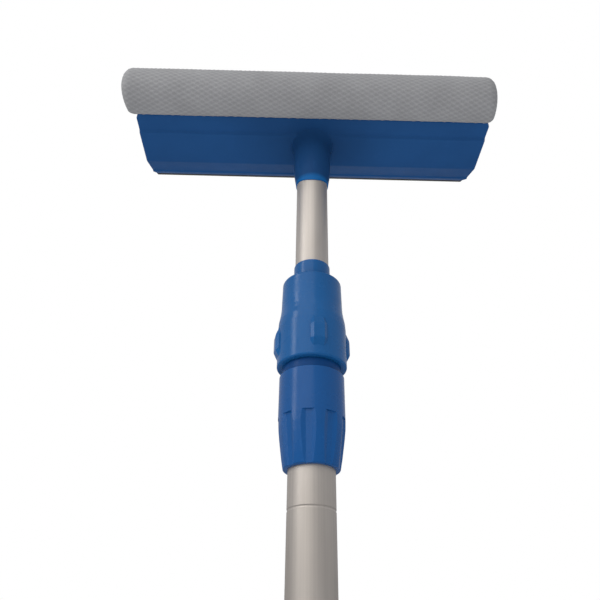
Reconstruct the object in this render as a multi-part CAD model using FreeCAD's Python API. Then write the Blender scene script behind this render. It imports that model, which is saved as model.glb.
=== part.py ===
import FreeCAD, Part
import math
import os

# A window squeegee on a telescopic pole, in millimetres.
# +Z runs up the pole's axis to the head, the scrubbing pad faces -Y, and the rubber blade points
# back and up, towards +Y. X runs along the head. The origin is on the axis, at the middle of the
# hand grip. "down" is a distance below the mouth of the head's socket. In the head, a section
# point is (ahead, above): ahead of the axis, towards -Y, and above the socket's mouth.

# Driving dimensions
SOCKET_MOUTH_Z = 545.0
HEAD_LENGTH = 250.0
OUTER_TUBE_R = 12.5
INNER_TUBE_R = 10.5
TUBE_WALL = 0.8
RUNNING_GAP = 0.06
MOVING_GAP = 0.3
EDGE_BREAK = 0.6

# Head
SHELL = 2.6
PLATE_ABOVE = 42.8
FRONT_BAND_ABOVE = 44.4
WALL_AHEAD = 25.0
WALL_TOP_ABOVE = 72.5
STEP_HIGH_AHEAD = 11.6
STEP_LOW_AHEAD = 9.8
STEP_LEAN = 1.0
FLAT_END_AHEAD = -17.6
FLANGE_DEG = 25.8
FLANGE_RUN = 21.9
SOCKET_DEPTH = 36.5
SOCKET_TOP_ABOVE = 58.0
SOCKET_BOSS_R = 14.2
SOCKET_FLARE = (
    (-0.6, 10.95), (3.0, 11.2), (10.8, 12.3), (20.0, 12.9), (31.0, 13.2), (38.0, 13.7), (42.8, 15.3),
    (47.0, 18.5),
)
SOCKET_LIP_R = 18.2
BOSS_ROUND = 2.5
END_WEB_TOP_ABOVE = 71.0
END_WEB_TAIL_AHEAD = -36.0
RIB_X = (28.0, 60.0, 92.0)
RIB = 1.8
RIB_TOP_ABOVE = 67.0
RIB_TAIL_AHEAD = -30.0
HEAD_CORNER_ROUND = 4.0
PAD_STUD_X = (44.0, 108.0)
PAD_STUD_ABOVE = 58.0
PAD_STUD_R = 3.0
SCREW_ABOVE = 20.0
SCREW_SEAT_R = 12.5
SCREW_HEAD_R = 3.6
SCREW_HEAD = 2.4
SCREW_R = 1.6
SCREW_CROSS_LENGTH = 4.0
SCREW_CROSS = 0.9

# Rubber blade: along the blade is "out" from its bead's centre, and across it is "over"
BLADE_DEG = 30.5
BEAD_AHEAD = -35.76
BEAD_ABOVE = 54.24
BEAD_R = 1.45
BLADE_GAP = 0.27
BLADE_HALF = 0.75
BLADE_EDGE_HALF = 0.55
JAW_OUT = 7.0
JAW_HALF = 2.5
BLADE_OUT = 19.0
BLADE_LENGTH = 251.0

# Scrubbing pad
PAD_AHEAD = 31.4
PAD_ABOVE = 57.1
PAD_R = 18.1
PAD_LENGTH = 260.0
PAD_OFFSET_X = -3.2
PAD_END_ROUND = 7.0
PAD_HEEL_ROUND = 3.0
NET = 0.8
CARRIER_LENGTH = 240.0
CARRIER_HEIGHT = 25.0
CARRIER = 2.0
STUD_PROUD = 3.0

# Upper pole
TUBE_IN_SOCKET = 35.0
INNER_TUBE_END_Z = 20.0
PLUG_FLANGE = 2.0
PLUG_LENGTH = 12.0
BUSH_LENGTH = 26.0
BUSH_GROOVES_UP = (7.0, 15.0)
BUSH_GROOVE = 3.0
CLIP = 1.2
CLIP_MOUTH = 2.0

# Twist lock
NECK_DOWN = 68.8
NUT_TOP_DOWN = 82.4
NUT_RIM_DOWN = 139.6
NUT_SIDE = ((90.0, 18.2), (100.0, 18.25), (103.5, 18.5), (107.0, 19.0), (110.5, 19.65), (115.0, 20.0))
NUT_R = 20.0
NUT_BORE_R = 15.5
NUT_THROAT_R = 11.4
NUT_RECESS_DOWN = 88.5
NUT_RECESS_R = 13.5
NUT_CONE_TOP_DOWN = 90.0
WIPER_BORE_R = 10.7
WIPER_R = 11.2
WIPER_FLANGE_DOWN = 88.8
WIPER_FLANGE_R = 13.2
THRUST_RING_TOP_DOWN = 90.3
THRUST_RING_END_DOWN = 92.2
THRUST_RING_BORE_R = 10.9
THRUST_RING_R = 13.1
LUG_COUNT = 4
LUG_FIRST_DEG = 9.0
LUG_WIDTH = 9.4
LUG_BEVEL = 1.7
LUG_SIDE = ((114.8, 19.6, 0), (120.5, 21.9, 6.0), (129.7, 21.9, 3.0), (134.6, 19.6, 0))
SPIGOT_R = 15.2
SPIGOT_TOP_DOWN = 100.0
COLLET_TOP_DOWN = 92.5
COLLET_NOSE_R = 11.9
COLLET_SHOULDER_DOWN = 97.0
COLLET_R = 13.2
COLLET_END_DOWN = 142.2
COLLET_ROOM_R = 13.5
COLLET_SLOTS = 6
COLLET_SLOT = 1.6
COLLET_SLOT_END_DOWN = 126.0
COLLET_SLOT_FIRST_DEG = 30.0
COLLET_STOP_TOP_DOWN = 142.5
COLLET_STOP_END_DOWN = 145.0
COLLET_STOP_R = 11.2
STOP_RING_R = 16.7
GUIDE_TOP_DOWN = 145.1
GUIDE_FLANGE_DOWN = 146.9
GUIDE_END_DOWN = 168.0
BODY_TOP_DOWN = 145.2
BODY_R = 18.25
BODY_SIDE = ((171.0, 18.25), (175.5, 18.1), (181.0, 17.5), (186.0, 16.8), (191.6, 16.0))
BODY_END_DOWN = 197.3
BODY_END_R = 15.0
FLUTE_TOP_DOWN = 170.0
FLUTE_FLOOR_R = 17.25
FLUTE_END_FLOOR_R = 14.6
FLUTE_FLOOR_HALF = 1.5
FLUTE_SIDE_SLOPE = 0.36
FLUTE_COUNT = 9
FLUTE_FIRST_DEG = -7.6
RIVET_DOWN = 182.0
RIVET_SEAT_R = 15.4
RIVET_R = 1.55
RIVET_HEAD_R = 2.9
RIVET_HEAD = 1.1
RIVET_TAIL_R = 2.2

# Lower pole
OUTER_TUBE_TOP_DOWN = 147.2
OUTER_TUBE_END_Z = -66.0
GROOVE_DOWN = 217.6
GROOVE_DEPTH = 0.25
GROOVE_HALF = 0.8
STOP_BEAD = 0.65
STOP_BEAD_HALF = 2.4
GRIP_LENGTH = 120.0
GRIP_R = 15.5
GRIP_LOW_BEAD = 0.7
GRIP_HIGH_BEAD = 0.5
GRIP_END_SINK = 0.8
GRIP_FLUTES = 12
GRIP_FLUTE_R = 2.4
GRIP_FLUTE_DEPTH = 0.8
GRIP_FLUTE_END_GAP = 12.0
CAP_R = 12.6
CAP_COLLAR_R = 13.4
CAP_COLLAR = 6.0
CAP_SPIGOT = 16.0
CAP_HOLLOW_R = 9.4
CAP_END_Z = -98.0
CAP_TAB_HALF = 6.0
CAP_TAB_SHOULDER = 4.0
HANG_HOLE_Z = -84.0
HANG_HOLE_R = 4.5

UP = FreeCAD.Vector(0, 0, 1)
AXIS_FOOT = FreeCAD.Vector(0, 0, 0)


# Shape helpers

def union(shapes):
    """One solid from several."""
    return shapes[0].multiFuse(shapes[1:]).removeSplitter()


def cylinder(radius, z_low, z_high):
    """A solid round bar on the pole's axis."""
    return Part.makeCylinder(radius, z_high - z_low, FreeCAD.Vector(0, 0, z_low), UP)


def tube(radius_in, radius_out, z_low, z_high):
    """A round tube on the pole's axis."""
    return cylinder(radius_out, z_low, z_high).cut(cylinder(radius_in, z_low, z_high))


def outline(corners):
    """A closed face from (point, round) corners, each rounded to its radius."""
    bends = []
    for index, (corner, radius) in enumerate(corners):
        before = (corners[index - 1][0] - corner).normalize()
        after = (corners[(index + 1) % len(corners)][0] - corner).normalize()
        if radius == 0:
            bends.append((corner, None, corner))
            continue
        half = before.getAngle(after) / 2
        inward = (before + after).normalize()
        run = radius / math.tan(half)
        crown = corner + inward * (radius / math.sin(half) - radius)
        bends.append((corner + before * run, crown, corner + after * run))
    edges = []
    for index, (start, crown, end) in enumerate(bends):
        if crown is not None:
            edges.append(Part.Arc(start, crown, end).toShape())
        edges.append(Part.LineSegment(end, bends[(index + 1) % len(bends)][0]).toShape())
    return Part.Face(Part.Wire(edges))


def with_round(values):
    """(a, b) or (a, b, round) as three values."""
    return values if len(values) == 3 else (values[0], values[1], 0)


def turned(points):
    """A solid turned about the pole's axis from (radius, z) or (radius, z, round) corners."""
    corners = [(FreeCAD.Vector(radius, 0, z), bend) for radius, z, bend in map(with_round, points)]
    return outline(corners).revolve(AXIS_FOOT, UP, 360)


def turned_down(points):
    """A solid turned about the pole's axis from (down, radius) or (down, radius, round) corners."""
    return turned([(radius, SOCKET_MOUTH_Z - down, bend) for down, radius, bend in map(with_round, points)])


def at_azimuth(shape, degrees):
    """Turn a shape made at the front (-Y) about the axis, positive towards +X."""
    placed = shape.copy()
    placed.rotate(AXIS_FOOT, UP, degrees)
    return placed


def radial_bar(radius, r_inner, r_outer, z, degrees):
    """A round bar that points straight out from the axis."""
    start = FreeCAD.Vector(0, -r_inner, z)
    bar = Part.makeCylinder(radius, r_outer - r_inner, start, FreeCAD.Vector(0, -1, 0))
    return at_azimuth(bar, degrees)


def head_point(x, ahead, above):
    return FreeCAD.Vector(x, -ahead, SOCKET_MOUTH_Z + above)


def head_prism(section, x_low, x_high):
    """A bar along X from (ahead, above) or (ahead, above, round) corners."""
    corners = [(head_point(x_low, ahead, above), bend) for ahead, above, bend in map(with_round, section)]
    return outline(corners).extrude(FreeCAD.Vector(x_high - x_low, 0, 0))


def head_rod(radius, ahead, above, length, middle_x=0.0):
    """A round rod along X."""
    start = head_point(middle_x - length / 2, ahead, above)
    return Part.makeCylinder(radius, length, start, FreeCAD.Vector(1, 0, 0))


def blade_point(out, over):
    """The (ahead, above) place of a point in the rubber blade's own section."""
    angle = math.radians(BLADE_DEG)
    ahead = BEAD_AHEAD - out * math.cos(angle) + over * math.sin(angle)
    above = BEAD_ABOVE + out * math.sin(angle) + over * math.cos(angle)
    return ahead, above


def blade_prism(section, length):
    """A bar along X from (out, over) or (out, over, round) corners in the blade's section."""
    corners = [blade_point(out, over) + (bend,) for out, over, bend in map(with_round, section)]
    return head_prism(corners, -length / 2, length / 2)


def soften(shape, radius, wanted):
    """Round the edges whose middle and length pass the test."""
    edges = [edge for edge in shape.Edges if wanted(edge)]
    return shape.makeFillet(radius, edges)


# Head

def head_shell():
    """The moulded section: front wall, stepped plate and rising rear flange."""
    rise = math.radians(FLANGE_DEG)
    flange_end = (
        FLAT_END_AHEAD - FLANGE_RUN,
        PLATE_ABOVE + FLANGE_RUN * math.tan(rise),
    )
    flange_inner = (
        flange_end[0] + SHELL * math.sin(rise),
        flange_end[1] + SHELL * math.cos(rise),
    )
    section = [
        (WALL_AHEAD, FRONT_BAND_ABOVE, 0.9),
        (STEP_HIGH_AHEAD, FRONT_BAND_ABOVE, 0.8),
        (STEP_LOW_AHEAD, PLATE_ABOVE, 0.8),
        (FLAT_END_AHEAD, PLATE_ABOVE, 6.0),
        flange_end,
        flange_inner,
        (FLAT_END_AHEAD + SHELL * math.tan(rise / 2), PLATE_ABOVE + SHELL, 3.0),
        (STEP_LOW_AHEAD - STEP_LEAN, PLATE_ABOVE + SHELL),
        (STEP_HIGH_AHEAD - STEP_LEAN, FRONT_BAND_ABOVE + SHELL),
        (WALL_AHEAD - SHELL, FRONT_BAND_ABOVE + SHELL, 1.5),
        (WALL_AHEAD - SHELL, WALL_TOP_ABOVE, 1.1),
        (WALL_AHEAD, WALL_TOP_ABOVE, 1.1),
    ]
    return head_prism(section, -HEAD_LENGTH / 2, HEAD_LENGTH / 2)


def blade_channel():
    """The jaws that hold the blade's bead, with the slot still filled."""
    jaws = blade_prism(
        [(-1.0, -JAW_HALF), (JAW_OUT, -JAW_HALF, 0.5), (JAW_OUT, JAW_HALF, 0.8), (-1.0, JAW_HALF)],
        HEAD_LENGTH,
    )
    return jaws.fuse(head_rod(JAW_HALF + EDGE_BREAK, BEAD_AHEAD, BEAD_ABOVE, HEAD_LENGTH))


def blade_slot():
    """The room for the bead and the blade's web."""
    half = BLADE_HALF + BLADE_GAP
    longer = HEAD_LENGTH + 2
    web = blade_prism([(0, -half), (JAW_OUT + 3, -half), (JAW_OUT + 3, half), (0, half)], longer)
    return web.fuse(head_rod(BEAD_R + BLADE_GAP, BEAD_AHEAD, BEAD_ABOVE, longer))


def gusset(x, thickness, wall_above, tail_ahead):
    """An upright web between the front wall and the blade's channel."""
    tail_above = PLATE_ABOVE + (FLAT_END_AHEAD - tail_ahead) * math.tan(math.radians(FLANGE_DEG)) + 1.0
    section = [
        (WALL_AHEAD - 1.0, FRONT_BAND_ABOVE + 1.0),
        (WALL_AHEAD - 1.0, wall_above),
        (WALL_AHEAD - SHELL - 3.0, wall_above, 3.0),
        (tail_ahead, tail_above + 5.0, 1.5),
        (tail_ahead, tail_above),
        (FLAT_END_AHEAD, PLATE_ABOVE + 1.0),
        (STEP_LOW_AHEAD - STEP_LEAN, PLATE_ABOVE + 1.0),
        (STEP_HIGH_AHEAD - STEP_LEAN, FRONT_BAND_ABOVE + 1.0),
    ]
    return head_prism(section, x - thickness / 2, x + thickness / 2)


def below_shell():
    """The space under the middle of the shell's thickness, where the socket's trumpet may be."""
    middle = SHELL / 2
    rear = 2 * FLAT_END_AHEAD
    rear_above = PLATE_ABOVE + (FLAT_END_AHEAD - rear) * math.tan(math.radians(FLANGE_DEG)) + middle
    section = [
        (WALL_AHEAD, FRONT_BAND_ABOVE + middle), (STEP_HIGH_AHEAD - STEP_LEAN, FRONT_BAND_ABOVE + middle),
        (STEP_LOW_AHEAD - STEP_LEAN, PLATE_ABOVE + middle), (FLAT_END_AHEAD, PLATE_ABOVE + middle),
        (rear, rear_above), (rear, -SHELL), (WALL_AHEAD, -SHELL),
    ]
    return head_prism(section, rear, -rear)


def socket():
    """The pole's socket: a trumpet that spreads into the plate, and a closed boss above it."""
    rim = [FreeCAD.Vector(radius, 0, SOCKET_MOUTH_Z + above) for above, radius in SOCKET_FLARE]
    flare = Part.BSplineCurve()
    flare.interpolate(rim)
    foot = FreeCAD.Vector(0, 0, rim[0].z)
    top = FreeCAD.Vector(0, 0, rim[-1].z)
    sides = [flare.toShape()]
    sides += Part.makePolygon([rim[-1], top, foot, rim[0]]).Edges
    trumpet = Part.Face(Part.Wire(Part.__sortEdges__(sides))).revolve(AXIS_FOOT, UP, 360)
    trumpet = trumpet.cut(below_lip(rim[0].z)).common(below_shell())
    boss = cylinder(SOCKET_BOSS_R, SOCKET_MOUTH_Z + PLATE_ABOVE, SOCKET_MOUTH_Z + SOCKET_TOP_ABOVE)
    boss = soften(boss, BOSS_ROUND, is_boss_top)
    return trumpet.fuse(boss)


def below_lip(z_lowest):
    """What the socket's curved mouth leaves out: the lip hangs lowest at the front and back."""
    span = 2 * SOCKET_LIP_R
    corner = FreeCAD.Vector(-SOCKET_LIP_R, -SOCKET_LIP_R, z_lowest - 1)
    block = Part.makeBox(span, span, SOCKET_LIP_R, corner)
    centre = FreeCAD.Vector(0, -SOCKET_LIP_R, z_lowest + SOCKET_LIP_R)
    return block.cut(Part.makeCylinder(SOCKET_LIP_R, span, centre, FreeCAD.Vector(0, 1, 0)))


def is_boss_top(edge):
    return abs(edge.CenterOfMass.z - SOCKET_MOUTH_Z - SOCKET_TOP_ABOVE) < 0.01


def is_upright(edge):
    low, high = edge.Vertexes[0].Point, edge.Vertexes[-1].Point
    return abs(low.z - high.z) > 1


def head_trimmer():
    """A tall block with rounded upright corners that trims the head's four corners."""
    nose_ahead, _ = blade_point(JAW_OUT, -JAW_HALF)
    block = Part.makeBox(
        HEAD_LENGTH, WALL_AHEAD - nose_ahead, 100.0,
        FreeCAD.Vector(-HEAD_LENGTH / 2, -WALL_AHEAD, SOCKET_MOUTH_Z - 5),
    )
    return soften(block, HEAD_CORNER_ROUND, is_upright)


def make_head_body():
    pieces = [head_shell(), blade_channel(), socket()]
    for side in (-1, 1):
        end_x = side * (HEAD_LENGTH - SHELL) / 2
        pieces.append(gusset(end_x, SHELL, END_WEB_TOP_ABOVE, END_WEB_TAIL_AHEAD))
        for x in RIB_X:
            pieces.append(gusset(side * x, RIB, RIB_TOP_ABOVE, RIB_TAIL_AHEAD))
    body = union(pieces).common(head_trimmer())
    cuts = [
        cylinder(INNER_TUBE_R + RUNNING_GAP, SOCKET_MOUTH_Z - 2, SOCKET_MOUTH_Z + SOCKET_DEPTH),
        blade_slot(),
        radial_bar(SCREW_R + 0.1, INNER_TUBE_R - 2, 40, SOCKET_MOUTH_Z + SCREW_ABOVE, 180),
        radial_bar(SCREW_HEAD_R + 0.4, SCREW_SEAT_R, 40, SOCKET_MOUTH_Z + SCREW_ABOVE, 180),
    ]
    for side in (-1, 1):
        for x in PAD_STUD_X:
            start = head_point(side * x, WALL_AHEAD + 2, PAD_STUD_ABOVE)
            hole = Part.makeCylinder(PAD_STUD_R + MOVING_GAP, SHELL + 4, start, FreeCAD.Vector(0, 1, 0))
            cuts.append(hole)
    return body.cut(Part.makeCompound(cuts)).removeSplitter()


def make_socket_screw():
    """A pan-head screw through the back of the socket into the pole's wall."""
    z = SOCKET_MOUTH_Z + SCREW_ABOVE
    head = radial_bar(SCREW_HEAD_R, SCREW_SEAT_R, SCREW_SEAT_R + SCREW_HEAD, z, 180)
    head = soften(head, 1.0, is_screw_crown)
    slots = []
    for wide, tall in ((SCREW_CROSS_LENGTH, SCREW_CROSS), (SCREW_CROSS, SCREW_CROSS_LENGTH)):
        corner = FreeCAD.Vector(-wide / 2, SCREW_SEAT_R + SCREW_HEAD - SCREW_CROSS, z - tall / 2)
        slots.append(Part.makeBox(wide, SCREW_HEAD, tall, corner))
    shank = radial_bar(SCREW_R, INNER_TUBE_R - 3.5, SCREW_SEAT_R + 0.5, z, 180)
    return head.fuse(shank).cut(Part.makeCompound(slots)).removeSplitter()


def is_screw_crown(edge):
    return edge.CenterOfMass.y > SCREW_SEAT_R + SCREW_HEAD - 0.1


def make_rubber_blade():
    """A bead that slides in the channel, and a web that thins towards its wiping edge."""
    web = blade_prism(
        [
            (0, -BLADE_HALF), (JAW_OUT, -BLADE_HALF), (BLADE_OUT, -BLADE_EDGE_HALF),
            (BLADE_OUT, BLADE_EDGE_HALF), (JAW_OUT, BLADE_HALF), (0, BLADE_HALF),
        ],
        BLADE_LENGTH,
    )
    return web.fuse(head_rod(BEAD_R, BEAD_AHEAD, BEAD_ABOVE, BLADE_LENGTH)).removeSplitter()


# Scrubbing pad

def pad_form(inset):
    """A rod along X with rounded ends, cut flat at the back with rounded heels."""
    length = PAD_LENGTH - 2 * inset
    rod = head_rod(PAD_R - inset, PAD_AHEAD, PAD_ABOVE, length, PAD_OFFSET_X)
    rod = soften(rod, PAD_END_ROUND - inset, lambda edge: True)
    far, reach = pad_back() + 2 * PAD_R, PAD_R - inset - 0.2
    front = [
        (pad_back(), PAD_ABOVE - reach, PAD_HEEL_ROUND), (pad_back(), PAD_ABOVE + reach, PAD_HEEL_ROUND),
        (PAD_AHEAD, PAD_ABOVE + PAD_R + 5), (far, PAD_ABOVE + PAD_R + 5),
        (far, PAD_ABOVE - PAD_R - 5), (PAD_AHEAD, PAD_ABOVE - PAD_R - 5),
    ]
    return rod.common(head_prism(front, -PAD_LENGTH, PAD_LENGTH))


def pad_back():
    return WALL_AHEAD + MOVING_GAP + CARRIER + 0.1


def make_pad_foam():
    return pad_form(NET + RUNNING_GAP)


def make_net_cover():
    """The knitted net as a thin skin, open at the back where the carrier closes it."""
    opening = head_rod(PAD_R - PAD_HEEL_ROUND, PAD_AHEAD, PAD_ABOVE, CARRIER_LENGTH, PAD_OFFSET_X)
    return pad_form(0.0).cut(pad_form(NET)).cut(opening)


def make_pad_carrier():
    """The stiff board behind the foam, with studs that press into the head's wall."""
    back = WALL_AHEAD + MOVING_GAP
    board = Part.makeBox(
        CARRIER_LENGTH, CARRIER, CARRIER_HEIGHT,
        head_point(-CARRIER_LENGTH / 2, back + CARRIER, PAD_STUD_ABOVE - CARRIER_HEIGHT / 2),
    )
    pieces = [board]
    for side in (-1, 1):
        for x in PAD_STUD_X:
            start = head_point(side * x, back + CARRIER / 2, PAD_STUD_ABOVE)
            length = SHELL + CARRIER + STUD_PROUD
            stud = Part.makeCylinder(PAD_STUD_R, length, start, FreeCAD.Vector(0, 1, 0))
            pieces.append(soften(stud, 1.2, is_stud_tip))
    return union(pieces)


def is_stud_tip(edge):
    return edge.CenterOfMass.y > -WALL_AHEAD + SHELL + 1


# Upper pole

def make_inner_tube():
    top = SOCKET_MOUTH_Z + TUBE_IN_SOCKET
    pipe = tube(INNER_TUBE_R - TUBE_WALL, INNER_TUBE_R, INNER_TUBE_END_Z, top)
    z = SOCKET_MOUTH_Z + SCREW_ABOVE
    return pipe.cut(radial_bar(SCREW_R + 0.1, INNER_TUBE_R - 4, INNER_TUBE_R + 2, z, 180))


def make_inner_end_plug():
    """A plug in the tube's lower end whose flange keeps the bush on."""
    low = INNER_TUBE_END_Z - PLUG_FLANGE
    flange = cylinder(OUTER_TUBE_R - TUBE_WALL - 0.6, low, INNER_TUBE_END_Z)
    stem = cylinder(INNER_TUBE_R - TUBE_WALL - 0.03, low, INNER_TUBE_END_Z + PLUG_LENGTH)
    hollow = cylinder(INNER_TUBE_R - TUBE_WALL - 2.0, low - 1, INNER_TUBE_END_Z + PLUG_LENGTH - 2)
    return flange.fuse(stem).cut(hollow).removeSplitter()


def bush_low():
    return INNER_TUBE_END_Z + MOVING_GAP


def make_glide_bush():
    """A sleeve that slides in the outer tube while the inner tube turns inside it."""
    low, high = bush_low(), bush_low() + BUSH_LENGTH
    outer = OUTER_TUBE_R - TUBE_WALL - RUNNING_GAP
    sleeve = tube(INNER_TUBE_R + RUNNING_GAP, outer, low, high)
    for up in BUSH_GROOVES_UP:
        sleeve = sleeve.cut(tube(outer - 0.4, outer + 1, low + up, low + up + BUSH_GROOVE))
    return sleeve


def make_bush_clip():
    """A snap ring above the bush."""
    low = bush_low() + BUSH_LENGTH + MOVING_GAP
    ring = tube(INNER_TUBE_R + 0.02, OUTER_TUBE_R - TUBE_WALL - 0.45, low, low + CLIP)
    corner = FreeCAD.Vector(-CLIP_MOUTH / 2, 0, low - 1)
    return ring.cut(Part.makeBox(CLIP_MOUTH, 2 * OUTER_TUBE_R, CLIP + 2, corner))


# Twist lock

def lug():
    """One grip lug at the front: a ridge with sloping ends and bevelled flanks."""
    root = NUT_R - 3
    side = [(LUG_SIDE[0][0], root, 0)] + list(LUG_SIDE) + [(LUG_SIDE[-1][0], root, 0)]
    corners = [
        (FreeCAD.Vector(-LUG_WIDTH / 2, -radius, SOCKET_MOUTH_Z - down), bend)
        for down, radius, bend in side
    ]
    ridge = outline(corners).extrude(FreeCAD.Vector(LUG_WIDTH, 0, 0))
    return ridge.makeChamfer(LUG_BEVEL, [edge for edge in ridge.Edges if is_lug_flank(edge)])


def is_lug_flank(edge):
    on_flank = abs(abs(edge.CenterOfMass.x) - LUG_WIDTH / 2) < 0.01
    return on_flank and edge.CenterOfMass.y < -LUG_SIDE[0][1] - 0.1


def make_lock_nut():
    outside = [(NUT_TOP_DOWN, NUT_SIDE[0][1] - 0.3, 1.2)]
    outside += [(down, radius, 8.0) for down, radius in NUT_SIDE[1:-1]]
    outside += [NUT_SIDE[-1] + (8.0,), (NUT_RIM_DOWN, NUT_R, 1.1)]
    inside = [
        (NUT_RIM_DOWN, NUT_BORE_R, 0.5), (SPIGOT_TOP_DOWN - 3, NUT_BORE_R),
        (NUT_CONE_TOP_DOWN, NUT_RECESS_R), (NUT_RECESS_DOWN, NUT_RECESS_R),
        (NUT_RECESS_DOWN, NUT_THROAT_R), (NUT_TOP_DOWN, NUT_THROAT_R),
    ]
    pieces = [turned_down(outside + inside)]
    for index in range(LUG_COUNT):
        pieces.append(at_azimuth(lug(), LUG_FIRST_DEG + index * 360 / LUG_COUNT))
    return union(pieces)


def make_wiper_sleeve():
    """The narrow neck above the nut that keeps grit off the inner tube."""
    return turned_down([
        (NECK_DOWN, WIPER_BORE_R), (NECK_DOWN, WIPER_R, 0.3), (WIPER_FLANGE_DOWN, WIPER_R),
        (WIPER_FLANGE_DOWN, WIPER_FLANGE_R), (NUT_CONE_TOP_DOWN, WIPER_FLANGE_R),
        (NUT_CONE_TOP_DOWN, WIPER_BORE_R),
    ])


def make_thrust_ring():
    """A slip ring between the turning nut and the collet."""
    z_low, z_high = SOCKET_MOUTH_Z - THRUST_RING_END_DOWN, SOCKET_MOUTH_Z - THRUST_RING_TOP_DOWN
    return tube(THRUST_RING_BORE_R, THRUST_RING_R, z_low, z_high)


def make_collet():
    """A split sleeve that grips the inner tube when the nut draws down on its cone."""
    bore = INNER_TUBE_R + 0.08
    sleeve = turned_down([
        (COLLET_TOP_DOWN, bore), (COLLET_TOP_DOWN, COLLET_NOSE_R), (COLLET_SHOULDER_DOWN, COLLET_R),
        (COLLET_END_DOWN, COLLET_R), (COLLET_END_DOWN, bore),
    ])
    reach, height = 20.0, COLLET_SLOT_END_DOWN - COLLET_TOP_DOWN + 1
    corner = FreeCAD.Vector(-COLLET_SLOT / 2, -reach, SOCKET_MOUTH_Z - COLLET_SLOT_END_DOWN)
    slot = Part.makeBox(COLLET_SLOT, reach, height, corner)
    step = 360 / COLLET_SLOTS
    slots = [at_azimuth(slot, COLLET_SLOT_FIRST_DEG + index * step) for index in range(COLLET_SLOTS)]
    return sleeve.cut(Part.makeCompound(slots))


def collar_form():
    """The collar body's outside, without its spigot and flutes."""
    points = [(BODY_TOP_DOWN, 0), (BODY_TOP_DOWN, BODY_R, EDGE_BREAK)]
    points += [side + (8.0,) for side in BODY_SIDE]
    points += [(BODY_END_DOWN, BODY_END_R, 0.9), (BODY_END_DOWN, 0)]
    return turned_down(points)


def flute_cutter(degrees):
    """A bar that cuts one flute: a flat floor with gently sloping sides, leaning in with the taper."""
    reach = 6.0
    height = BODY_END_DOWN - FLUTE_TOP_DOWN
    lean = FLUTE_FLOOR_R - FLUTE_END_FLOOR_R
    z = SOCKET_MOUTH_Z - FLUTE_TOP_DOWN
    half, rise = FLUTE_FLOOR_HALF, FLUTE_SIDE_SLOPE * reach
    corners = [
        FreeCAD.Vector(-half, -FLUTE_FLOOR_R, z),
        FreeCAD.Vector(-half - reach, -FLUTE_FLOOR_R - rise, z),
        FreeCAD.Vector(-half - reach, -FLUTE_FLOOR_R - 2 * reach, z),
        FreeCAD.Vector(half + reach, -FLUTE_FLOOR_R - 2 * reach, z),
        FreeCAD.Vector(half + reach, -FLUTE_FLOOR_R - rise, z),
        FreeCAD.Vector(half, -FLUTE_FLOOR_R, z),
    ]
    face = Part.Face(Part.makePolygon(corners + corners[:1]))
    stretch = (height + 1) / height
    return at_azimuth(face.extrude(FreeCAD.Vector(0, lean, -height) * stretch), degrees)


def rivet_azimuth():
    """Straight behind the first flute, on the ridge between two others."""
    return FLUTE_FIRST_DEG + 180.0


def make_collar_body():
    body = collar_form()
    for index in range(FLUTE_COUNT):
        body = body.cut(flute_cutter(FLUTE_FIRST_DEG + index * 360 / FLUTE_COUNT))
    z_spigot = SOCKET_MOUTH_Z - SPIGOT_TOP_DOWN
    spigot = cylinder(SPIGOT_R, SOCKET_MOUTH_Z - BODY_TOP_DOWN - 1, z_spigot)
    tube_room = OUTER_TUBE_R + 0.05
    bores = turned_down([
        (BODY_END_DOWN + 1, 0), (BODY_END_DOWN + 1, tube_room), (COLLET_STOP_END_DOWN, tube_room),
        (COLLET_STOP_END_DOWN, COLLET_STOP_R), (COLLET_STOP_TOP_DOWN, COLLET_STOP_R),
        (COLLET_STOP_TOP_DOWN, COLLET_ROOM_R), (SPIGOT_TOP_DOWN - 1, COLLET_ROOM_R),
        (SPIGOT_TOP_DOWN - 1, 0),
    ])
    z_rivet = SOCKET_MOUTH_Z - RIVET_DOWN
    rivet_room = [
        radial_bar(RIVET_R + 0.05, OUTER_TUBE_R - 4, BODY_R + 5, z_rivet, rivet_azimuth()),
        radial_bar(RIVET_HEAD_R + 0.4, RIVET_SEAT_R, BODY_R + 5, z_rivet, rivet_azimuth()),
    ]
    return body.fuse(spigot).cut(Part.makeCompound([bores] + rivet_room)).removeSplitter()


def make_stop_ring():
    """The recessed ring between the nut's rim and the collar body."""
    z_low = SOCKET_MOUTH_Z - BODY_TOP_DOWN + 0.05
    return tube(SPIGOT_R + 0.05, STOP_RING_R, z_low, SOCKET_MOUTH_Z - NUT_RIM_DOWN - MOVING_GAP)


def make_guide_bush():
    """A flanged sleeve that centres the inner tube in the mouth of the outer one."""
    bore, flange, sleeve = INNER_TUBE_R + RUNNING_GAP, OUTER_TUBE_R - 0.1, OUTER_TUBE_R - TUBE_WALL - 0.05
    return turned_down([
        (GUIDE_TOP_DOWN, bore), (GUIDE_TOP_DOWN, flange), (GUIDE_FLANGE_DOWN, flange),
        (GUIDE_FLANGE_DOWN, sleeve), (GUIDE_END_DOWN, sleeve), (GUIDE_END_DOWN, bore),
    ])


def make_collar_rivet():
    """A blind rivet through the collar body and the outer tube, at the back."""
    z = SOCKET_MOUTH_Z - RIVET_DOWN
    inner_wall = OUTER_TUBE_R - TUBE_WALL
    pieces = [
        radial_bar(RIVET_HEAD_R, RIVET_SEAT_R + 0.02, RIVET_SEAT_R + RIVET_HEAD, z, rivet_azimuth()),
        radial_bar(RIVET_R, inner_wall - 0.5, RIVET_SEAT_R + 0.5, z, rivet_azimuth()),
        radial_bar(RIVET_TAIL_R, inner_wall - 0.8, inner_wall - 0.3, z, rivet_azimuth()),
    ]
    return union(pieces)


# Lower pole

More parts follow.
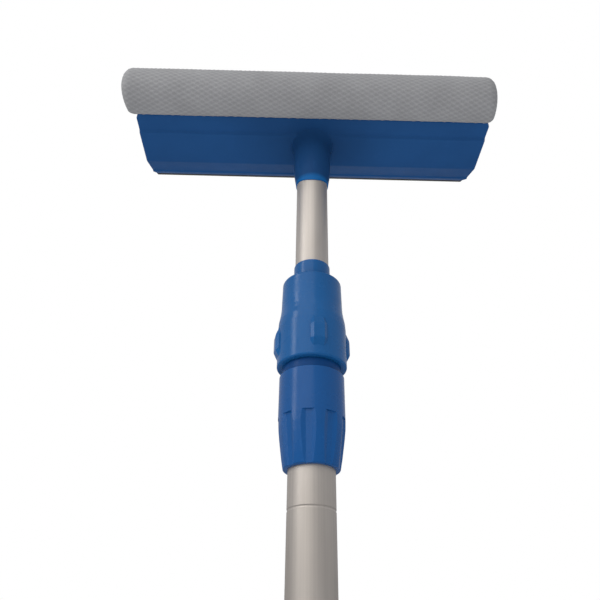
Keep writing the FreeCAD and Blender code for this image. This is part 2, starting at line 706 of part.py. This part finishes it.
def make_outer_tube():
    """A thin tube with one rolled groove, whose inside bead stops the glide bush."""
    outer, inner = OUTER_TUBE_R, OUTER_TUBE_R - TUBE_WALL
    top = SOCKET_MOUTH_Z - OUTER_TUBE_TOP_DOWN
    middle = SOCKET_MOUTH_Z - GROOVE_DOWN

    def bent(radius, depth, half_height):
        points = [
            FreeCAD.Vector(radius, 0, middle + half_height),
            FreeCAD.Vector(radius - depth, 0, middle),
            FreeCAD.Vector(radius, 0, middle - half_height),
        ]
        return Part.Arc(*points).toShape(), points[0], points[-1]

    outer_arc, outer_high, outer_low = bent(outer, GROOVE_DEPTH, GROOVE_HALF)
    inner_arc, inner_high, inner_low = bent(inner, STOP_BEAD, STOP_BEAD_HALF)
    outer_top, inner_top = FreeCAD.Vector(outer, 0, top), FreeCAD.Vector(inner, 0, top)
    outer_end = FreeCAD.Vector(outer, 0, OUTER_TUBE_END_Z)
    inner_end = FreeCAD.Vector(inner, 0, OUTER_TUBE_END_Z)
    lines = [
        (inner_high, inner_top), (inner_top, outer_top), (outer_top, outer_high),
        (outer_low, outer_end), (outer_end, inner_end), (inner_end, inner_low),
    ]
    edges = [outer_arc, inner_arc] + [Part.LineSegment(*ends).toShape() for ends in lines]
    pipe = Part.Face(Part.Wire(Part.__sortEdges__(edges))).revolve(AXIS_FOOT, UP, 360)
    z_rivet = SOCKET_MOUTH_Z - RIVET_DOWN
    return pipe.cut(radial_bar(RIVET_R + 0.05, inner - 2, outer + 2, z_rivet, rivet_azimuth()))


def make_hand_grip():
    """A fluted plastic sleeve with a raised bead at each end."""
    half = GRIP_LENGTH / 2
    low_bead, high_bead = GRIP_R + GRIP_LOW_BEAD, GRIP_R + GRIP_HIGH_BEAD
    grip = turned([
        (OUTER_TUBE_R + 0.05, -half), (low_bead, -half, 1.6), (low_bead, -half + 6, 1.5),
        (GRIP_R, -half + 9, 3.0), (GRIP_R, half - 9, 3.0), (high_bead, half - 5, 2.0),
        (GRIP_R - GRIP_END_SINK, half, 1.0), (OUTER_TUBE_R + 0.05, half),
    ])
    foot = FreeCAD.Vector(0, GRIP_FLUTE_DEPTH - GRIP_R - GRIP_FLUTE_R, GRIP_FLUTE_END_GAP - half)
    cutter = Part.makeCylinder(GRIP_FLUTE_R, GRIP_LENGTH - 2 * GRIP_FLUTE_END_GAP, foot, UP)
    cutter = soften(cutter, GRIP_FLUTE_R - 0.4, lambda edge: edge.isClosed())
    cuts = [at_azimuth(cutter, index * 360 / GRIP_FLUTES) for index in range(GRIP_FLUTES)]
    return grip.cut(Part.makeCompound(cuts)).removeSplitter()


def make_end_cap():
    """A cap with a flat tab and a hole to hang the tool by."""
    collar_low = OUTER_TUBE_END_Z - CAP_COLLAR
    collar_top = OUTER_TUBE_END_Z - 0.05
    cap = turned([
        (0, CAP_END_Z), (CAP_R, CAP_END_Z, 3.5), (CAP_R, collar_low - 2, 1.0),
        (CAP_COLLAR_R, collar_low, 0.5), (CAP_COLLAR_R, collar_top, 0.8), (0, collar_top),
    ])
    spigot = cylinder(OUTER_TUBE_R - TUBE_WALL - 0.05, collar_top - 1, OUTER_TUBE_END_Z + CAP_SPIGOT)
    cap = cap.fuse(spigot)
    cap = cap.cut(cylinder(CAP_HOLLOW_R, OUTER_TUBE_END_Z + 2, OUTER_TUBE_END_Z + CAP_SPIGOT + 1))
    reach = 20.0
    tab_top = collar_low - CAP_TAB_SHOULDER
    for start_y in (CAP_TAB_HALF, -CAP_TAB_HALF - reach):
        corner = FreeCAD.Vector(-reach, start_y, CAP_END_Z - 1)
        cap = cap.cut(Part.makeBox(2 * reach, reach, tab_top - CAP_END_Z + 1, corner))
    start = FreeCAD.Vector(0, -reach, HANG_HOLE_Z)
    hole = Part.makeCylinder(HANG_HOLE_R, 2 * reach, start, FreeCAD.Vector(0, 1, 0))
    return cap.cut(hole).removeSplitter()


NODES = {
    "head_body": make_head_body,
    "socket_screw": make_socket_screw,
    "rubber_blade": make_rubber_blade,
    "pad_foam": make_pad_foam,
    "net_cover": make_net_cover,
    "pad_carrier": make_pad_carrier,
    "inner_tube": make_inner_tube,
    "inner_end_plug": make_inner_end_plug,
    "glide_bush": make_glide_bush,
    "bush_clip": make_bush_clip,
    "lock_nut": make_lock_nut,
    "wiper_sleeve": make_wiper_sleeve,
    "thrust_ring": make_thrust_ring,
    "collet": make_collet,
    "collar_body": make_collar_body,
    "stop_ring": make_stop_ring,
    "guide_bush": make_guide_bush,
    "collar_rivet": make_collar_rivet,
    "outer_tube": make_outer_tube,
    "hand_grip": make_hand_grip,
    "end_cap": make_end_cap,
}

os.makedirs("parts", exist_ok=True)
for name, make in NODES.items():
    shape = make()
    print(name, len(shape.Solids), shape.isValid(), round(shape.Volume))
    shape.exportStep(f"parts/{name}.step")
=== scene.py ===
import math

import bmesh
import bpy
from mathutils import Matrix, Vector, noise


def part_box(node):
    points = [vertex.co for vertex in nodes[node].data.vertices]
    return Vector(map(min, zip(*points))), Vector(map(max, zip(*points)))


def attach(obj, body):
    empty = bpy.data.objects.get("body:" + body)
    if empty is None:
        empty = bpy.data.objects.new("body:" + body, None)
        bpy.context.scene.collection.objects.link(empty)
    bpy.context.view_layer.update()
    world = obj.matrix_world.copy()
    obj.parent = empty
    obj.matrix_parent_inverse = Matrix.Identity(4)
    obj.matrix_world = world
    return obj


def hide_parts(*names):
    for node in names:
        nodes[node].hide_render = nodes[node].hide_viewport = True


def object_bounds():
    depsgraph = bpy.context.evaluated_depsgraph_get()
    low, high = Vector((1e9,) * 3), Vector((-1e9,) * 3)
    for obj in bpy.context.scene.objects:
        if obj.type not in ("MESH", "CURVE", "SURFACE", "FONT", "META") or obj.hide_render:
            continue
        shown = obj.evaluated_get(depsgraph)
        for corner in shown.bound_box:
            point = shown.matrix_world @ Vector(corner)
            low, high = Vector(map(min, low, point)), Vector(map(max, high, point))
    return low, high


# A window squeegee with a net-covered pad on a telescopic pole, in metres. +Z runs up the pole,
# the pad faces -Y and the blade points back and up.

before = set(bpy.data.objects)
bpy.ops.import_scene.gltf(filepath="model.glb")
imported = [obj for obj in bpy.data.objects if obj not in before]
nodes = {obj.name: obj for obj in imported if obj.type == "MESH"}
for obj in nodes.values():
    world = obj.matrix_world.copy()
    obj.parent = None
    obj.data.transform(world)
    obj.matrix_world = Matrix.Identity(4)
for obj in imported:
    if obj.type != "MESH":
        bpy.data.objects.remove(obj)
cad_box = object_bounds()

MM = 0.001


# Camera

CAMERA_PLACE = Vector((-11.3, -302.4, 255.0)) * MM
CAMERA_TILT_UP = math.radians(33.2)
CAMERA_YAW = math.radians(-0.76)
CAMERA_ROLL = math.radians(0.85)
CAMERA_LENS = 35.4
SENSOR_WIDTH = 36.0


def make_camera():
    data = bpy.data.cameras.new("camera")
    data.lens = CAMERA_LENS
    data.sensor_width = SENSOR_WIDTH
    data.clip_start = 0.01
    camera = bpy.data.objects.new("camera", data)
    bpy.context.scene.collection.objects.link(camera)
    yaw = Matrix.Rotation(CAMERA_YAW, 4, "Z")
    tilt = Matrix.Rotation(math.pi / 2 + CAMERA_TILT_UP, 4, "X")
    roll = Matrix.Rotation(CAMERA_ROLL, 4, "Z")
    camera.matrix_world = Matrix.Translation(CAMERA_PLACE) @ yaw @ tilt @ roll
    bpy.context.scene.camera = camera


# Light

WORLD_TINT = (0.93, 0.95, 1.0, 1.0)
LOW_SKY = 0.08
HIGH_SKY = 0.32
LOW_SKY_STRENGTH = 0.28
HIGH_SKY_STRENGTH = 0.60
FLOOR_SIZE = 6.0
FLOOR_BELOW_TOOL = 0.12
FLOOR_GREY = (0.86, 0.86, 0.86, 1.0)


def area_light(name, place, target, size, power, colour=(1.0, 1.0, 1.0), mirrored=True):
    """A soft rectangular lamp; one that isn't mirrored only adds to the diffuse light."""
    data = bpy.data.lights.new(name, "AREA")
    data.shape = "RECTANGLE"
    data.size, data.size_y = size
    data.energy = power
    data.color = colour
    lamp = bpy.data.objects.new(name, data)
    bpy.context.scene.collection.objects.link(lamp)
    lamp.location = place
    lamp.rotation_euler = (Vector(target) - Vector(place)).to_track_quat("-Z", "Y").to_euler()
    lamp.visible_glossy = mirrored


def set_inputs(node, values):
    for name, value in values.items():
        node.inputs[name].default_value = value


def make_world():
    """White where the camera sees it; what lights the tool is softer, and dim near the horizon."""
    world = bpy.data.worlds.new("studio")
    bpy.context.scene.world = world
    world.use_nodes = True
    tree = world.node_tree
    tree.nodes.clear()
    output = tree.nodes.new("ShaderNodeOutputWorld")
    mix = tree.nodes.new("ShaderNodeMixShader")
    rays = tree.nodes.new("ShaderNodeLightPath")
    seen = tree.nodes.new("ShaderNodeBackground")
    set_inputs(seen, {"Color": (1.0, 1.0, 1.0, 1.0), "Strength": 1.0})
    fill = tree.nodes.new("ShaderNodeBackground")
    set_inputs(fill, {"Color": WORLD_TINT})
    where = tree.nodes.new("ShaderNodeTexCoord")
    parts = tree.nodes.new("ShaderNodeSeparateXYZ")
    rise = tree.nodes.new("ShaderNodeMapRange")
    set_inputs(rise, {
        "From Min": LOW_SKY, "From Max": HIGH_SKY,
        "To Min": LOW_SKY_STRENGTH, "To Max": HIGH_SKY_STRENGTH,
    })
    tree.links.new(where.outputs["Generated"], parts.inputs[0])
    tree.links.new(parts.outputs["Z"], rise.inputs["Value"])
    tree.links.new(rise.outputs["Result"], fill.inputs["Strength"])
    tree.links.new(rays.outputs["Is Camera Ray"], mix.inputs[0])
    tree.links.new(fill.outputs[0], mix.inputs[1])
    tree.links.new(seen.outputs[0], mix.inputs[2])
    tree.links.new(mix.outputs[0], output.inputs["Surface"])


def make_lights():
    """Each lamp: its name, place, target, size in metres and power in watts."""
    lock, head = (0, 0, 0.42), (0, 0, 0.59)
    area_light("key", (-0.45, -1.08, 1.12), lock, (1.2, 1.5), 7.0, colour=(1.0, 0.985, 0.96))
    area_light("left_strip", (-0.80, -0.41, 0.86), lock, (0.20, 0.7), 2.4)
    area_light("low_front", (0, -0.62, -0.09), head, (0.9, 0.2), 0.9, mirrored=False)
    area_light("back", (0.3, 1.0, 1.0), lock, (0.9, 0.7), 5.0, mirrored=False)


def make_floor():
    """A pale floor a little below the tool. It lights the tool but isn't mirrored in it."""
    height = cad_box[0].z - FLOOR_BELOW_TOOL
    bpy.ops.mesh.primitive_plane_add(size=FLOOR_SIZE, location=(0, 0, height))
    floor = bpy.context.object
    floor.name = "floor"
    material = Surface("pale_floor")
    set_inputs(material.shader, {"Base Color": FLOOR_GREY, "Roughness": 0.85})
    floor.data.materials.append(material.made)
    floor.visible_glossy = False


# Materials

class Surface:
    """A node material under construction, with short ways to add the nodes it needs."""

    def __init__(self, name):
        self.made = bpy.data.materials.new(name)
        self.made.use_nodes = True
        self.tree = self.made.node_tree
        self.shader = self.tree.nodes["Principled BSDF"]
        self.place = self.tree.nodes.new("ShaderNodeTexCoord").outputs["Object"]

    def put(self, kind, **values):
        node = self.tree.nodes.new(kind)
        for name, value in values.items():
            setattr(node, name, value)
        return node

    def link(self, output, target):
        self.tree.links.new(output, target)

    def stretched(self, scale):
        """Object coordinates scaled along each axis."""
        mapping = self.put("ShaderNodeMapping")
        set_inputs(mapping, {"Scale": scale})
        self.link(self.place, mapping.inputs["Vector"])
        return mapping.outputs["Vector"]

    def speckle(self, scale, detail=3.0, roughness=0.5, vector=None):
        """A noise value, 0..1."""
        texture = self.put("ShaderNodeTexNoise")
        set_inputs(texture, {"Scale": scale, "Detail": detail, "Roughness": roughness})
        self.link(vector or self.place, texture.inputs["Vector"])
        return texture.outputs["Fac"]

    def ramp(self, value, low, high, low_at=0.0, high_at=1.0):
        """Maps a 0..1 value to a colour between two greys or two colours."""
        node = self.put("ShaderNodeValToRGB")
        ends = node.color_ramp.elements
        ends[0].position, ends[1].position = low_at, high_at
        ends[0].color, ends[1].color = rgba(low), rgba(high)
        self.link(value, node.inputs["Fac"])
        return node.outputs["Color"]

    def mixed(self, first, second, factor, mode="MIX"):
        """A colour mix whose inputs are sockets or plain colours."""
        node = self.put("ShaderNodeMix", data_type="RGBA", blend_type=mode)
        for index, value in ((0, factor), (6, first), (7, second)):
            if isinstance(value, bpy.types.NodeSocket):
                self.link(value, node.inputs[index])
            elif index == 0:
                node.inputs[index].default_value = value
            else:
                node.inputs[index].default_value = rgba(value)
        return node.outputs[2]

    def drive(self, name, value):
        """Link a value to one of the shader's own inputs."""
        self.link(value, self.shader.inputs[name])

    def bump(self, height, strength, distance, below=None):
        """Relief on top of another bump's normal, if one is given. It goes to the shader."""
        node = self.put("ShaderNodeBump")
        set_inputs(node, {"Strength": strength, "Distance": distance})
        self.link(height, node.inputs["Height"])
        if below is not None:
            self.link(below, node.inputs["Normal"])
        self.drive("Normal", node.outputs["Normal"])
        return node.outputs["Normal"]


def rgba(value):
    """A grey or a colour as red, green, blue and alpha."""
    if isinstance(value, (int, float)):
        return (value, value, value, 1.0)
    return tuple(value) + (1.0,)


# Painted shade round the pole's socket, and painted light on the socket's mouth.
PAINTED_SHADE_RADIUS = 62.0 * MM
PAINTED_SHADE_DEPTH = 0.74
PAINTED_LIP_HEIGHT = 3.2 * MM
PAINTED_LIP_LIGHT_BLUE = (0.012, 0.120, 0.350)


def moulded_plastic(name, colour, dark, roughness, grain, shine=0.5, wave=0.1, paint_socket_shade_and_lip_light=False):
    """Injection-moulded polypropylene: faint flow clouding, fine skin grain and light scuffs; optionally
    painted shade round the pole's socket and a painted lit lip at its mouth.
    """
    surface = Surface(name)
    cloud = surface.speckle(24.0, 3.0)
    tint = surface.ramp(cloud, dark, colour, 0.30, 0.62)
    if paint_socket_shade_and_lip_light:
        # Painted shade: darker round the pole's socket.
        tint = surface.mixed(tint, painted_socket_shade(surface), 1.0, "MULTIPLY")
        # Painted light: a brighter blue on the socket's mouth.
        tint = surface.mixed(tint, PAINTED_LIP_LIGHT_BLUE, painted_lip_light_mask(surface))
    scuff = surface.speckle(140.0, 6.0, 0.7, surface.stretched((1.0, 1.0, 0.25)))
    scuff_mask = surface.ramp(scuff, 0.0, 0.16, 0.60, 0.80)
    worn = surface.mixed(tint, tuple(min(1.0, 1.4 * c + 0.01) for c in colour), scuff_mask)
    surface.drive("Base Color", worn)
    gloss = surface.ramp(surface.speckle(60.0, 4.0), roughness - 0.05, roughness + 0.09, 0.3, 0.7)
    surface.drive("Roughness", gloss)
    fine = surface.bump(surface.speckle(2600.0, 2.0), grain, 0.00012)
    surface.bump(surface.speckle(95.0, 1.0), wave, 0.0005, fine)
    set_inputs(surface.shader, {"Specular IOR Level": shine})
    return surface.made


def painted_socket_shade(surface):
    """Painted shade: the plastic is painted darker round the pole's socket, fading out away from the pole's
    axis.
    """
    distance = surface.put("ShaderNodeVectorMath", operation="LENGTH")
    surface.link(surface.stretched((1 / PAINTED_SHADE_RADIUS, 1 / PAINTED_SHADE_RADIUS, 0.0)), distance.inputs[0])
    return surface.ramp(distance.outputs["Value"], PAINTED_SHADE_DEPTH, 1.0, 0.22, 0.95)


def painted_lip_light_mask(surface):
    """Painted light: 1 on the socket's mouth, which is painted a brighter blue as if lit, and 0 above it."""
    parts = surface.put("ShaderNodeSeparateXYZ")
    surface.link(surface.place, parts.inputs[0])
    fade = surface.put("ShaderNodeMapRange")
    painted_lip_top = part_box("head_body")[0].z + PAINTED_LIP_HEIGHT
    set_inputs(fade, {"From Min": painted_lip_top, "From Max": painted_lip_top + PAINTED_LIP_HEIGHT, "To Min": 1.0, "To Max": 0.0})
    surface.link(parts.outputs["Z"], fade.inputs["Value"])
    return fade.outputs["Result"]


def anodised_tube(name):
    """Drawn aluminium tube: fine lines along its length, satin anodised, slightly warm."""
    surface = Surface(name)
    lines = surface.speckle(900.0, 4.0, 0.6, surface.stretched((1.0, 1.0, 0.006)))
    cloud = surface.speckle(30.0, 3.0, 0.5, surface.stretched((1.0, 1.0, 0.3)))
    tint = surface.ramp(cloud, (0.50, 0.455, 0.41), (0.60, 0.55, 0.50), 0.35, 0.65)
    streak = surface.mixed(tint, surface.ramp(lines, 0.82, 1.0, 0.35, 0.65), 0.6, "MULTIPLY")
    surface.drive("Base Color", streak)
    surface.drive("Roughness", surface.ramp(lines, 0.44, 0.54, 0.3, 0.7))
    surface.bump(lines, 0.06, 0.00010)
    set_inputs(surface.shader, {"Metallic": 0.7})
    return surface.made


def steel_fastener(name):
    """Zinc-plated steel with a fine, uneven grain."""
    surface = Surface(name)
    surface.drive("Base Color", surface.ramp(surface.speckle(400.0), 0.42, 0.6, 0.3, 0.7))
    surface.drive("Roughness", surface.ramp(surface.speckle(250.0), 0.25, 0.42, 0.3, 0.7))
    surface.bump(surface.speckle(1500.0), 0.1, 0.0001)
    set_inputs(surface.shader, {"Metallic": 1.0})
    return surface.made


def black_rubber(name):
    """Extruded rubber: dull, with faint lines along X and a dusty bloom."""
    surface = Surface(name)
    bloom = surface.speckle(70.0, 5.0, 0.6)
    surface.drive("Base Color", surface.ramp(bloom, 0.008, 0.022, 0.35, 0.7))
    surface.drive("Roughness", surface.ramp(bloom, 0.5, 0.68, 0.3, 0.7))
    lines = surface.speckle(1200.0, 2.0, 0.5, surface.stretched((0.01, 1.0, 1.0)))
    surface.bump(lines, 0.15, 0.0001)
    return surface.made


def knitted_net(name):
    """Grey net over grey foam: the mesh's own "yarn" value says where the yarn is."""
    surface = Surface(name)
    cell = surface.put("ShaderNodeAttribute", attribute_name="yarn")
    fuzz = surface.speckle(1800.0, 3.0, 0.6)
    cloud = surface.speckle(45.0, 3.0)
    yarn = surface.ramp(fuzz, (0.335, 0.335, 0.34), (0.41, 0.41, 0.415), 0.3, 0.7)
    foam = surface.ramp(fuzz, (0.26, 0.26, 0.265), (0.325, 0.325, 0.33), 0.3, 0.7)
    base = surface.mixed(foam, yarn, cell.outputs["Fac"])
    tint = surface.mixed(base, surface.ramp(cloud, 0.88, 1.0, 0.3, 0.7), 1.0, "MULTIPLY")
    surface.drive("Base Color", tint)
    surface.bump(fuzz, 0.35, 0.0002)
    set_inputs(surface.shader, {
        "Roughness": 0.82, "Sheen Weight": 0.15, "Sheen Roughness": 0.5, "Specular IOR Level": 0.25,
    })
    return surface.made


# Scrubbing pad

NET_CELL_LONG = 6.2 * MM
NET_CELL_TALL = 3.4 * MM
NET_SKEW = 0.08
NET_RELIEF = 0.32 * MM
NET_STEP = 0.55 * MM
HEEL_ROUND = 3.0 * MM
PAD_END_ROUND = 7.0 * MM
LEFT_END_SLANT = 3.2 * MM
SLANT_REACH = 40.0 * MM
YARN_BASE = 0.35
END_YARN_BASE = 0.5
LUMP_RELIEF = 0.3 * MM
LUMP_BASE = 0.6
LUMPS_ALONG = 30.0
LUMPS_AROUND = 45.0
END_RINGS = 24
CORNER_RINGS = 20


def arc_points(centre, radius, start, end, step):
    """Points along a round stretch of the pad's section, as (y, z) pairs."""
    count = max(2, round(radius * abs(end - start) / step))
    angles = [start + (end - start) * index / count for index in range(count + 1)]
    return [(centre[0] + radius * math.cos(a), centre[1] + radius * math.sin(a)) for a in angles]


def pad_section():
    """The net's way round the foam, from the upper back heel over the front to the lower one."""
    low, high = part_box("net_cover")
    radius = (high.z - low.z) / 2 - NET_RELIEF
    middle_z = (low.z + high.z) / 2
    round_centre = (low.y + NET_RELIEF + radius, middle_z)
    heel_y = high.y - HEEL_ROUND
    spread = math.sqrt((radius - HEEL_ROUND) ** 2 - (heel_y - round_centre[0]) ** 2)
    lean = math.atan2(spread, heel_y - round_centre[0])
    full = 2 * math.pi
    upper = arc_points((heel_y, middle_z + spread), HEEL_ROUND, 0.0, lean, NET_STEP)
    front = arc_points(round_centre, radius, lean, full - lean, NET_STEP)
    lower = arc_points((heel_y, middle_z - spread), HEEL_ROUND, full - lean, full, NET_STEP)
    return upper[:-1] + front + lower[1:]


def pad_stations(low_x, high_x, full_reach):
    """(x, scale of the section, run along the net) from one gathered end to the other."""
    least = 1.0 - PAD_END_ROUND / full_reach
    face = [(0.0, least * (ring / END_RINGS)) for ring in range(1, END_RINGS)]
    corner = []
    for ring in range(CORNER_RINGS):
        turn = math.pi / 2 * ring / CORNER_RINGS
        corner.append((PAD_END_ROUND * (1 - math.cos(turn)), least + (1 - least) * math.sin(turn)))
    straight_length = high_x - low_x - 2 * PAD_END_ROUND
    count = round(straight_length / NET_STEP)
    straight = [(PAD_END_ROUND + straight_length * index / count, 1.0) for index in range(count + 1)]
    near = face + corner
    far = [(high_x - low_x - inward, scale) for inward, scale in reversed(near)]
    stations = []
    run = 0.0
    last = None
    for inward, scale in near + straight + far:
        if last is not None:
            run += math.hypot(inward - last[0], (scale - last[1]) * full_reach)
        last = (inward, scale)
        stations.append((low_x + inward, scale, run))
    return stations


def yarn_height(along, around):
    """1 on the knots of the net, less along its yarns and 0 in the middle of a diamond cell."""
    u = along / NET_CELL_LONG
    v = (around - NET_SKEW * along) / NET_CELL_TALL
    first = 1.0 - abs(math.sin(math.pi * (u + v)))
    second = 1.0 - abs(math.sin(math.pi * (u - v)))
    return min(1.0, 0.6 * max(first, second) ** 1.5 + 0.7 * first * second)


def outward_normals(section):
    """Unit normals of the section, in the YZ plane."""
    normals = []
    for index in range(len(section)):
        before = section[max(0, index - 1)]
        after = section[min(len(section) - 1, index + 1)]
        normals.append(Vector((0.0, after[1] - before[1], before[0] - after[0])).normalized())
    return normals


def distances_along(section):
    total = [0.0]
    for before, after in zip(section, section[1:]):
        total.append(total[-1] + math.dist(before, after))
    return total


def pad_rows(mesh, yarn):
    """The net's vertices, one row per station along the pad, each with its yarn value."""
    low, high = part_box("net_cover")
    section = pad_section()
    points = list(zip(section, distances_along(section), outward_normals(section)))
    anchor = Vector((0.0, high.y, (low.z + high.z) / 2))
    reach = (high.z - low.z) / 2
    low_x, high_x = low.x + NET_RELIEF, high.x - NET_RELIEF
    rows = []
    for x, scale, run in pad_stations(low_x, high_x, reach):
        row = []
        near_left = max(0.0, 1.0 - (x - low_x) / SLANT_REACH) ** 2
        for (y, z), distance, normal in points:
            height = yarn_height(run, distance)
            lumps = noise.noise(Vector((x * LUMPS_ALONG, distance * LUMPS_AROUND, 2.0)))
            forward = (anchor.y - y) / (high.y - low.y)
            slant = LEFT_END_SLANT * (1.0 - forward) * near_left
            sides = (Vector((0.0, y, z)) - anchor) * scale
            proud = NET_RELIEF * (height - YARN_BASE) * scale + LUMP_RELIEF * (lumps - LUMP_BASE) * scale
            end_step = math.copysign(NET_RELIEF * (height - END_YARN_BASE), x) * (1.0 - scale)
            vert = mesh.verts.new(anchor + Vector((x + slant + end_step, 0.0, 0.0)) + sides + normal * proud)
            vert[yarn] = height
            row.append(vert)
        rows.append(row)
    return rows


def make_pad():
    """The net drawn over the foam: a fine grid over the section, with the knit raised in it."""
    mesh = bmesh.new()
    rows = pad_rows(mesh, mesh.verts.layers.float.new("yarn"))
    for before, after in zip(rows, rows[1:]):
        for index in range(len(before) - 1):
            mesh.faces.new((before[index], after[index], after[index + 1], before[index + 1]))
    upper_edge = [row[-1] for row in rows[1:-1]]
    lower_edge = [row[0] for row in rows[-2:0:-1]]
    mesh.faces.new(rows[0] + upper_edge + rows[-1][::-1] + lower_edge)
    bmesh.ops.recalc_face_normals(mesh, faces=mesh.faces)
    data = bpy.data.meshes.new("scrub_pad")
    mesh.to_mesh(data)
    mesh.free()
    for polygon in data.polygons:
        polygon.use_smooth = len(polygon.vertices) == 4
    pad = bpy.data.objects.new("scrub_pad_net", data)
    bpy.context.scene.collection.objects.link(pad)
    data.materials.append(knitted_net("grey_net"))
    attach(pad, "scrub_pad")
    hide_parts("net_cover", "pad_foam")


# Dressing of the CAD nodes

def dress(names, material):
    for name in names:
        data = nodes[name].data
        data.materials.clear()
        data.materials.append(material)


HEAD_BLUE = (0.018, 0.085, 0.248)
HEAD_DARK = (0.016, 0.075, 0.220)
# Painted light: the nut and sleeve are the body's plastic, painted lighter for the light their slope
# catches.
NUT_BLUE_PAINTED_LIT = (0.010, 0.106, 0.310)
NUT_DARK_PAINTED_LIT = (0.009, 0.093, 0.275)
BODY_BLUE = (0.009, 0.088, 0.286)
BODY_DARK = (0.008, 0.078, 0.255)
# Painted shade: the stop ring is painted a darker blue for the shade in the gap between the nut and the
# body.
RING_BLUE_PAINTED_SHADE = (0.003, 0.055, 0.200)
RING_DARK_PAINTED_SHADE = (0.003, 0.048, 0.175)
BLACK = (0.020, 0.022, 0.026)
SOFT_BLACK = (0.014, 0.015, 0.018)
NYLON = (0.72, 0.72, 0.70)
DULL_NYLON = (0.62, 0.62, 0.60)


def dress_cad_nodes():
    """Give every CAD node its material. A plastic's numbers are roughness, grain, shine and wave."""
    head = moulded_plastic("head_blue", HEAD_BLUE, HEAD_DARK, 0.36, 0.25, 0.04, paint_socket_shade_and_lip_light=True)
    # Painted light: the body's plastic, painted lighter for the nut's slope.
    nut = moulded_plastic("nut_blue_painted_lit", NUT_BLUE_PAINTED_LIT, NUT_DARK_PAINTED_LIT, 0.24, 0.1, 0.2, 0.03)
    body = moulded_plastic("body_blue", BODY_BLUE, BODY_DARK, 0.24, 0.1, 0.2, 0.03)
    # Painted shade: darker blue for the shade in the gap between nut and body.
    ring = moulded_plastic("ring_blue_painted_shade", RING_BLUE_PAINTED_SHADE, RING_DARK_PAINTED_SHADE, 0.36, 0.2, 0.12)
    grip = moulded_plastic("grip_blue", BODY_BLUE, BODY_DARK, 0.42, 0.5, 0.3)
    carrier = moulded_plastic("carrier_black", BLACK, SOFT_BLACK, 0.5, 0.4)
    nylon = moulded_plastic("natural_nylon", NYLON, DULL_NYLON, 0.4, 0.2)
    dress(["head_body"], head)
    dress(["lock_nut", "wiper_sleeve"], nut)
    dress(["collar_body"], body)
    dress(["stop_ring"], ring)
    dress(["hand_grip", "end_cap"], grip)
    dress(["pad_carrier"], carrier)
    dress(["inner_end_plug", "glide_bush", "thrust_ring", "collet", "guide_bush"], nylon)
    dress(["inner_tube", "outer_tube"], anodised_tube("anodised_aluminium"))
    dress(["socket_screw", "bush_clip", "collar_rivet"], steel_fastener("zinc_steel"))
    dress(["rubber_blade"], black_rubber("blade_rubber"))


bpy.context.scene.view_settings.view_transform = "Standard"
make_camera()
make_world()
make_lights()
make_floor()
dress_cad_nodes()
make_pad()
